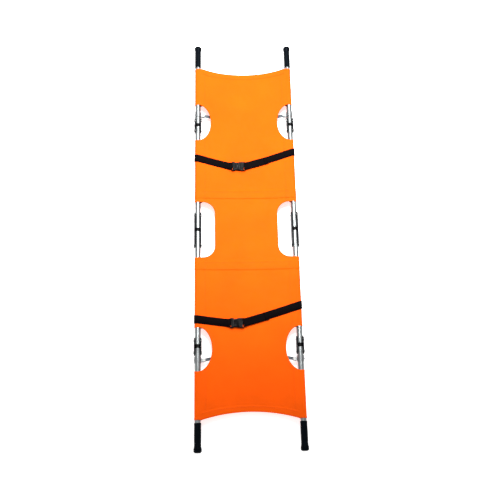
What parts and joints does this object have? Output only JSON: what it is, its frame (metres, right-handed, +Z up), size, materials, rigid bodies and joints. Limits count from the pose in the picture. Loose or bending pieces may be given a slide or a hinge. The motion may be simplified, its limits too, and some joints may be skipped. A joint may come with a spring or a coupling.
{
  "type": "folding stretcher",
  "caption": "Four-fold rescue stretcher: aluminium poles with double-pivot links, folding spreader bars, cloth bed in pole sleeves, buckled webbing straps and grips.",
  "frame": {"origin": "on the ground under the middle of the bed", "axes": "+Z up, +Y along the poles towards the head end, +X across the bed to the right"},
  "size_m": [0.5102, 2.08, 0.0565],
  "materials": {
    "tube_aluminium": "satin drawn tube",
    "plate_steel": "semi-matt black paint over pressed steel",
    "spreader_steel": "dark zinc plated bar",
    "bracket_steel": "zinc plated pressing",
    "fastener_zinc": "bright zinc",
    "black_plastic": "moulded nylon, fine texture",
    "black_rubber": "smooth moulded, slight sheen",
    "orange_cloth": "coated polyester canvas",
    "black_webbing": "woven webbing"
  },
  "bodies": {
    "left_front_mid": {"left_front_mid_tube": "tube_aluminium", "left_front_mid_plugs": "black_plastic", "front_mid_cloth": "orange_cloth", "front_strap": "black_webbing"},
    "left_front_link": {"left_front_link_channel": "plate_steel", "left_front_link_pins": "fastener_zinc"},
    "left_front_end": {"left_front_end_tube": "tube_aluminium", "left_front_end_plug": "black_plastic", "left_front_grip": "black_rubber", "left_front_foot": "black_rubber", "left_front_bracket": "bracket_steel", "left_front_fasteners": "fastener_zinc", "front_end_cloth": "orange_cloth"},
    "left_rear_mid": {"left_rear_mid_tube": "tube_aluminium", "left_rear_mid_plugs": "black_plastic", "rear_mid_cloth": "orange_cloth", "rear_strap": "black_webbing"},
    "left_rear_link": {"left_rear_link_channel": "plate_steel", "left_rear_link_pins": "fastener_zinc"},
    "left_rear_end": {"left_rear_end_tube": "tube_aluminium", "left_rear_end_plug": "black_plastic", "left_rear_grip": "black_rubber", "left_rear_foot": "black_rubber", "left_rear_bracket": "bracket_steel", "left_rear_fasteners": "fastener_zinc", "rear_end_cloth": "orange_cloth"},
    "left_middle_link": {"left_middle_link_channel": "plate_steel", "left_middle_link_pins": "fastener_zinc"},
    "right_front_mid": {"right_front_mid_tube": "tube_aluminium", "right_front_mid_plugs": "black_plastic"},
    "right_front_link": {"right_front_link_channel": "plate_steel", "right_front_link_pins": "fastener_zinc"},
    "right_front_end": {"right_front_end_tube": "tube_aluminium", "right_front_end_plug": "black_plastic", "right_front_grip": "black_rubber", "right_front_foot": "black_rubber", "right_front_bracket": "bracket_steel", "right_front_fasteners": "fastener_zinc"},
    "right_rear_mid": {"right_rear_mid_tube": "tube_aluminium", "right_rear_mid_plugs": "black_plastic"},
    "right_rear_link": {"right_rear_link_channel": "plate_steel", "right_rear_link_pins": "fastener_zinc"},
    "right_rear_end": {"right_rear_end_tube": "tube_aluminium", "right_rear_end_plug": "black_plastic", "right_rear_grip": "black_rubber", "right_rear_foot": "black_rubber", "right_rear_bracket": "bracket_steel", "right_rear_fasteners": "fastener_zinc"},
    "right_middle_link": {"right_middle_link_channel": "plate_steel", "right_middle_link_pins": "fastener_zinc"},
    "front_left_arm": {"front_left_arm": "spreader_steel", "front_knuckle_pin": "fastener_zinc"},
    "front_right_arm": {"front_right_arm": "spreader_steel"},
    "rear_left_arm": {"rear_left_arm": "spreader_steel"},
    "rear_right_arm": {"rear_right_arm": "spreader_steel", "rear_knuckle_pin": "fastener_zinc"},
    "front_buckle_socket": {"front_buckle_socket": "black_plastic"},
    "front_buckle_plug": {"front_buckle_plug": "black_plastic"},
    "rear_buckle_socket": {"rear_buckle_socket": "black_plastic"},
    "rear_buckle_plug": {"rear_buckle_plug": "black_plastic"}
  },
  "joints": [
    {"name": "front_end_fold", "type": "hinge", "parent": "left_front_mid", "child": "left_front_link", "pos_m": [-0.235, 0.542, 0.038], "axis": [-1, 0, 0], "range_deg": [0, 90]},
    {"name": "left_front_end_pivot", "type": "hinge", "parent": "left_front_link", "child": "left_front_end", "pos_m": [-0.235, 0.598, 0.038], "axis": [-1, 0, 0], "range_deg": [0, 90]},
    {"name": "spreader_fold", "type": "hinge", "parent": "left_front_end", "child": "front_left_arm", "pos_m": [-0.207, 0.632, 0.0295], "axis": [0, 0, 1], "range_deg": [0, 90], "deforming": ["front_end_cloth", "front_mid_cloth", "rear_mid_cloth", "rear_end_cloth", "front_strap", "rear_strap"]},
    {"name": "front_knuckle", "type": "hinge", "parent": "front_left_arm", "child": "front_right_arm", "pos_m": [0, 0.588, 0.0295], "axis": [0, 0, 1], "range_deg": [-180, 0]},
    {"name": "right_front_spreader_pivot", "type": "hinge", "parent": "front_right_arm", "child": "right_front_end", "pos_m": [0.207, 0.632, 0.0295], "axis": [0, 0, 1], "range_deg": [0, 90]},
    {"name": "right_front_end_pivot", "type": "hinge", "parent": "right_front_end", "child": "right_front_link", "pos_m": [0.235, 0.598, 0.038], "axis": [-1, 0, 0], "range_deg": [-90, 0]},
    {"name": "right_front_mid_pivot", "type": "hinge", "parent": "right_front_link", "child": "right_front_mid", "pos_m": [0.235, 0.542, 0.038], "axis": [-1, 0, 0], "range_deg": [-90, 0]},
    {"name": "middle_fold", "type": "hinge", "parent": "left_front_mid", "child": "left_middle_link", "pos_m": [-0.235, 0.077, 0.038], "axis": [1, 0, 0], "range_deg": [0, 90]},
    {"name": "left_middle_rear_pivot", "type": "hinge", "parent": "left_middle_link", "child": "left_rear_mid", "pos_m": [-0.235, -0.077, 0.038], "axis": [1, 0, 0], "range_deg": [0, 90]},
    {"name": "right_middle_front_pivot", "type": "hinge", "parent": "right_front_mid", "child": "right_middle_link", "pos_m": [0.235, 0.077, 0.038], "axis": [1, 0, 0], "range_deg": [0, 90]},
    {"name": "right_middle_rear_pivot", "type": "hinge", "parent": "right_middle_link", "child": "right_rear_mid", "pos_m": [0.235, -0.077, 0.038], "axis": [1, 0, 0], "range_deg": [0, 90]},
    {"name": "rear_end_fold", "type": "hinge", "parent": "left_rear_mid", "child": "left_rear_link", "pos_m": [-0.235, -0.542, 0.038], "axis": [1, 0, 0], "range_deg": [0, 90]},
    {"name": "left_rear_end_pivot", "type": "hinge", "parent": "left_rear_link", "child": "left_rear_end", "pos_m": [-0.235, -0.598, 0.038], "axis": [1, 0, 0], "range_deg": [0, 90]},
    {"name": "right_rear_mid_pivot", "type": "hinge", "parent": "right_rear_mid", "child": "right_rear_link", "pos_m": [0.235, -0.542, 0.038], "axis": [1, 0, 0], "range_deg": [0, 90]},
    {"name": "right_rear_end_pivot", "type": "hinge", "parent": "right_rear_link", "child": "right_rear_end", "pos_m": [0.235, -0.598, 0.038], "axis": [1, 0, 0], "range_deg": [0, 90]},
    {"name": "left_rear_spreader_pivot", "type": "hinge", "parent": "left_rear_end", "child": "rear_left_arm", "pos_m": [-0.207, -0.632, 0.0295], "axis": [0, 0, 1], "range_deg": [-90, 0]},
    {"name": "rear_knuckle", "type": "hinge", "parent": "rear_left_arm", "child": "rear_right_arm", "pos_m": [0, -0.588, 0.0295], "axis": [0, 0, 1], "range_deg": [0, 180]},
    {"name": "front_buckle_carry", "type": "slide", "parent": "left_front_mid", "child": "front_buckle_socket", "axis": [1, 0, 0], "range_m": [-0.137, 0]},
    {"name": "front_buckle_release", "type": "slide", "parent": "front_buckle_socket", "child": "front_buckle_plug", "axis": [1, 0, 0], "range_m": [0, 0.025]},
    {"name": "rear_buckle_carry", "type": "slide", "parent": "left_rear_mid", "child": "rear_buckle_socket", "axis": [1, 0, 0], "range_m": [-0.119, 0]},
    {"name": "rear_buckle_release", "type": "slide", "parent": "rear_buckle_socket", "child": "rear_buckle_plug", "axis": [1, 0, 0], "range_m": [0, 0.025]}
  ],
  "couplings": [
    {"joint": "left_front_end_pivot", "follows": "front_end_fold", "ratio": 1},
    {"joint": "front_knuckle", "follows": "spreader_fold", "ratio": -2},
    {"joint": "right_front_spreader_pivot", "follows": "spreader_fold", "ratio": 1},
    {"joint": "right_front_end_pivot", "follows": "front_end_fold", "ratio": -1},
    {"joint": "right_front_mid_pivot", "follows": "front_end_fold", "ratio": -1},
    {"joint": "left_middle_rear_pivot", "follows": "middle_fold", "ratio": 1},
    {"joint": "right_middle_front_pivot", "follows": "middle_fold", "ratio": 1},
    {"joint": "right_middle_rear_pivot", "follows": "middle_fold", "ratio": 1},
    {"joint": "left_rear_end_pivot", "follows": "rear_end_fold", "ratio": 1},
    {"joint": "right_rear_mid_pivot", "follows": "rear_end_fold", "ratio": 1},
    {"joint": "right_rear_end_pivot", "follows": "rear_end_fold", "ratio": 1},
    {"joint": "left_rear_spreader_pivot", "follows": "spreader_fold", "ratio": -1},
    {"joint": "rear_knuckle", "follows": "spreader_fold", "ratio": 2},
    {"joint": "front_buckle_carry", "follows": "spreader_fold", "m_per_rad": -0.08658},
    {"joint": "rear_buckle_carry", "follows": "spreader_fold", "m_per_rad": -0.075121}
  ]
}
